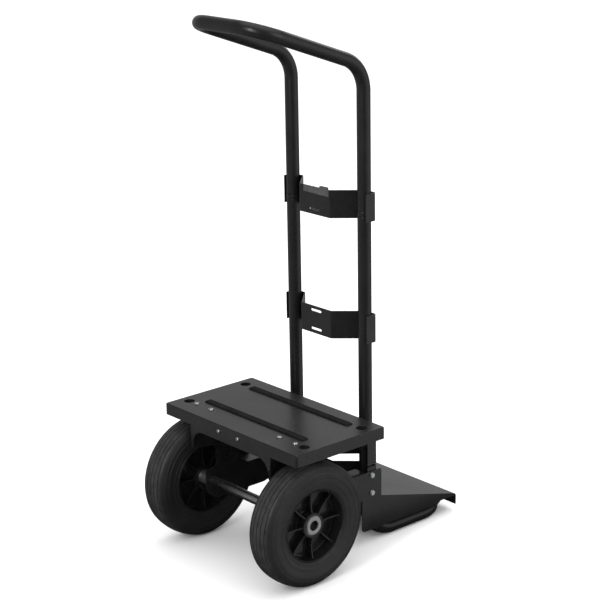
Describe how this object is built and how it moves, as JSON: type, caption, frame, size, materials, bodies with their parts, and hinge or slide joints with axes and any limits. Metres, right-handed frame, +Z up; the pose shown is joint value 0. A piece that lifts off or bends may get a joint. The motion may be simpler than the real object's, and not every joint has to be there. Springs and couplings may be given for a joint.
{
  "type": "hand truck",
  "caption": "Two-wheeled hand truck with a bent tube handle, flat deck over the wheels, sloping toe plate on a floor-level tube loop and folded cross brackets.",
  "frame": {"origin": "middle of the footprint on the floor, under the middle of the overall width and depth", "axes": "+X to the right of the person pushing, +Y forward towards the toe plate, +Z up"},
  "size_m": [0.4048, 0.5838, 1.0776],
  "materials": {
    "powder_coat": "satin black powder coat",
    "tyre_rubber": "matt moulded rubber",
    "rim_plastic": "gloss moulded",
    "zinc": "bright zinc plate",
    "bright_steel": "drawn bright",
    "strip_rubber": "matt",
    "webbing": "woven",
    "black_plastic": "fine grain"
  },
  "bodies": {
    "frame": {"axle": "bright_steel", "axle_bracket": "powder_coat", "deck_bracket": "powder_coat", "deck_front_strip": "strip_rubber", "deck_plate": "powder_coat", "deck_rear_strip": "strip_rubber", "handle_bow": "powder_coat", "left_axle_plug": "black_plastic", "left_axle_spacer": "zinc", "left_deck_cleat": "powder_coat", "left_front_edge_bolt": "zinc", "left_inner_deck_screw": "zinc", "left_joint_collar": "powder_coat", "left_joint_spigot": "bright_steel", "left_lower_side_bolt": "zinc", "left_lower_side_nut": "zinc", "left_outer_deck_screw": "zinc", "left_rear_edge_screw": "zinc", "left_side_plate": "powder_coat", "left_upper_side_bolt": "zinc", "left_upper_side_nut": "zinc", "lower_bracket": "powder_coat", "lower_frame": "powder_coat", "rear_support_panel": "powder_coat", "right_axle_plug": "black_plastic", "right_axle_spacer": "zinc", "right_deck_cleat": "powder_coat", "right_front_edge_bolt": "zinc", "right_inner_deck_screw": "zinc", "right_joint_collar": "powder_coat", "right_joint_spigot": "bright_steel", "right_lower_side_bolt": "zinc", "right_lower_side_nut": "zinc", "right_outer_deck_screw": "zinc", "right_rear_edge_screw": "zinc", "right_side_plate": "powder_coat", "right_upper_side_bolt": "zinc", "right_upper_side_nut": "zinc", "strap_slide": "black_plastic", "tie_strap": "webbing", "toe_plate": "powder_coat", "upper_bracket": "powder_coat"},
    "left_wheel": {"left_tyre": "tyre_rubber", "left_rim": "rim_plastic", "left_hub_sleeve": "bright_steel", "left_inner_bearing": "bright_steel", "left_outer_bearing": "bright_steel", "left_hub_ring": "zinc"},
    "right_wheel": {"right_tyre": "tyre_rubber", "right_rim": "rim_plastic", "right_hub_sleeve": "bright_steel", "right_inner_bearing": "bright_steel", "right_outer_bearing": "bright_steel", "right_hub_ring": "zinc"}
  },
  "joints": [
    {"name": "left_wheel_spin", "type": "hinge", "parent": "frame", "child": "left_wheel", "pos_m": [-0.1661, -0.1669, 0.125], "axis": [1, 0, 0], "continuous": true},
    {"name": "right_wheel_spin", "type": "hinge", "parent": "frame", "child": "right_wheel", "pos_m": [0.1661, -0.1669, 0.125], "axis": [1, 0, 0], "continuous": true}
  ]
}
